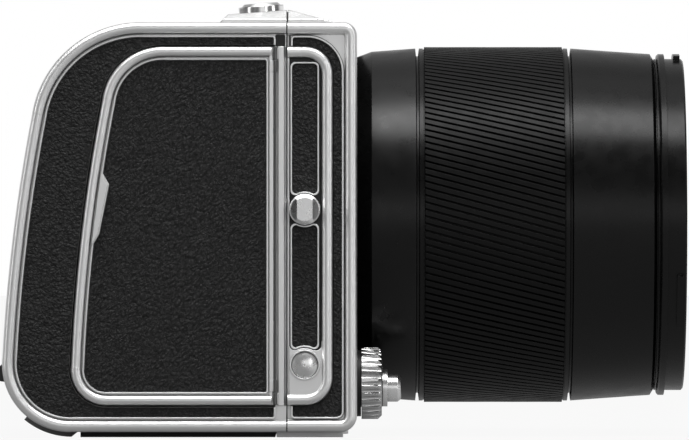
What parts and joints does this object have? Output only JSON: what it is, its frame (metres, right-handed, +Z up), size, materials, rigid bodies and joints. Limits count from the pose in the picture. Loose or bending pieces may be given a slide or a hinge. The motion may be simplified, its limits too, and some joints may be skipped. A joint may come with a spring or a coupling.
{
  "type": "medium format digital camera",
  "caption": "Boxy modular camera with a leather-covered digital back, a shallow body with side lugs and control wheel, and a black prime lens with a ribbed focus ring.",
  "frame": {"origin": "mouth of the tripod socket in the base plate, on the plane that the camera stands on", "axes": "the lens points along -Y, +Z is up, +X is the viewer's left"},
  "size_m": [0.102, 0.1463, 0.0928],
  "materials": {
    "silver_metal": "satin silver anodised",
    "polished_steel": "polished",
    "plain_steel": "plain",
    "black_leather": "pebbled grain",
    "black_plastic": "matte",
    "dark_screen_plastic": "satin black",
    "key_plastic": "satin",
    "black_rubber": "matte",
    "foot_plastic": "satin grey",
    "black_lens_metal": "satin black anodised",
    "lens_glass": "coated",
    "screen_glass": "glossy",
    "sensor_face": "iridescent",
    "board_green": "solder mask",
    "chassis_metal": "black anodised",
    "battery_case": "painted",
    "card_plastic": "satin"
  },
  "bodies": {
    "camera": {"body_frame": "silver_metal", "strip_rims": "silver_metal", "body_roof": "silver_metal", "tripod_plate": "silver_metal", "back_shell": "silver_metal", "right_side_frame": "silver_metal", "left_side_frame": "silver_metal", "hinge_strip": "silver_metal", "back_roof": "silver_metal", "strap_lugs": "polished_steel", "lens_mount_ring": "polished_steel", "shutter_collar": "polished_steel", "door_hinge_pin": "plain_steel", "screen_hinge_pin": "plain_steel", "right_body_leather": "black_leather", "left_body_leather": "black_leather", "front_panel": "black_leather", "right_back_leather": "black_leather", "left_back_leather": "black_leather", "side_panels": "black_plastic", "contact_block": "black_plastic", "wheel_post": "black_plastic", "back_front_plate": "black_plastic", "screen_tray": "black_plastic", "port_sockets": "black_plastic", "shutter_housing": "black_plastic", "bottom_pad": "black_rubber", "rear_foot": "foot_plastic", "lens_bayonet": "black_lens_metal", "rear_barrel": "black_lens_metal", "inner_barrel": "black_lens_metal", "front_barrel": "black_lens_metal", "front_ring": "black_lens_metal", "front_element": "lens_glass", "rear_element": "lens_glass", "sensor_glass": "lens_glass", "image_sensor": "sensor_face", "main_board": "board_green", "battery_bay": "chassis_metal", "battery": "battery_case", "memory_cards": "card_plastic"},
    "door": {"battery_door": "silver_metal", "door_leather": "black_leather"},
    "screen": {"screen_frame": "dark_screen_plastic", "screen_glass": "screen_glass"},
    "back_release": {"back_release_button": "polished_steel", "back_latch": "plain_steel"},
    "lens_release": {"lens_release_button": "polished_steel"},
    "lock_pin": {"lens_lock_pin": "plain_steel"},
    "wheel": {"control_wheel": "silver_metal"},
    "shutter": {"shutter_button": "polished_steel"},
    "focus": {"focus_ring": "black_lens_metal", "focus_grip": "black_rubber"},
    "focus_cell": {"focus_group": "black_plastic"},
    "port_flap": {"port_cover": "black_rubber"},
    "key_1": {"screen_button_1": "key_plastic"},
    "key_2": {"screen_button_2": "key_plastic"},
    "key_3": {"screen_button_3": "key_plastic"},
    "key_4": {"screen_button_4": "key_plastic"},
    "key_5": {"screen_button_5": "key_plastic"}
  },
  "joints": [
    {"name": "door_hinge", "type": "hinge", "parent": "camera", "child": "door", "pos_m": [-0.0451, 0.00994, 0.045], "axis": [0, 0, 1], "range_deg": [0, 105]},
    {"name": "screen_tilt", "type": "hinge", "parent": "camera", "child": "screen", "pos_m": [0, 0.05924, 0.0699], "axis": [1, 0, 0], "range_deg": [0, 90]},
    {"name": "key_1_press", "type": "slide", "parent": "screen", "child": "key_1", "axis": [0, -0.9927, -0.1209], "range_m": [0, 0.0005], "stiffness_N_per_m": 200, "springref_m": -0.001},
    {"name": "key_2_press", "type": "slide", "parent": "screen", "child": "key_2", "axis": [0, -0.9927, -0.1209], "range_m": [0, 0.0005], "stiffness_N_per_m": 200, "springref_m": -0.001},
    {"name": "key_3_press", "type": "slide", "parent": "screen", "child": "key_3", "axis": [0, -0.9927, -0.1209], "range_m": [0, 0.0005], "stiffness_N_per_m": 200, "springref_m": -0.001},
    {"name": "key_4_press", "type": "slide", "parent": "screen", "child": "key_4", "axis": [0, -0.9927, -0.1209], "range_m": [0, 0.0005], "stiffness_N_per_m": 200, "springref_m": -0.001},
    {"name": "key_5_press", "type": "slide", "parent": "screen", "child": "key_5", "axis": [0, -0.9927, -0.1209], "range_m": [0, 0.0005], "stiffness_N_per_m": 200, "springref_m": -0.001},
    {"name": "back_release_press", "type": "slide", "parent": "camera", "child": "back_release", "axis": [0, -0.0758, -0.9971], "range_m": [0, 0.0008], "stiffness_N_per_m": 400, "springref_m": -0.001},
    {"name": "lens_release_press", "type": "slide", "parent": "camera", "child": "lens_release", "axis": [1, 0, 0], "range_m": [0, 0.0015], "stiffness_N_per_m": 400, "springref_m": -0.001},
    {"name": "lock_pin_draw", "type": "slide", "parent": "camera", "child": "lock_pin", "axis": [0, 1, 0], "range_m": [0, 0.0015]},
    {"name": "wheel_turn", "type": "hinge", "parent": "camera", "child": "wheel", "pos_m": [-0.0335, -0.0104, 0.01134], "axis": [0, -1, 0], "continuous": true},
    {"name": "shutter_press", "type": "slide", "parent": "camera", "child": "shutter", "axis": [0, 1, 0], "range_m": [0, 0.0012], "stiffness_N_per_m": 400, "springref_m": -0.001},
    {"name": "focus_turn", "type": "hinge", "parent": "camera", "child": "focus", "pos_m": [0, -0.036, 0.045], "axis": [0, -1, 0], "continuous": true},
    {"name": "focus_group_slide", "type": "slide", "parent": "camera", "child": "focus_cell", "axis": [0, -1, 0], "range_m": [0, 0.005]},
    {"name": "port_cover_hinge", "type": "hinge", "parent": "camera", "child": "port_flap", "pos_m": [0.04385, 0.0224, 0.0265], "axis": [0, 0, -1], "range_deg": [0, 95]}
  ],
  "couplings": [
    {"joint": "lock_pin_draw", "follows": "lens_release_press", "ratio": 1}
  ]
}
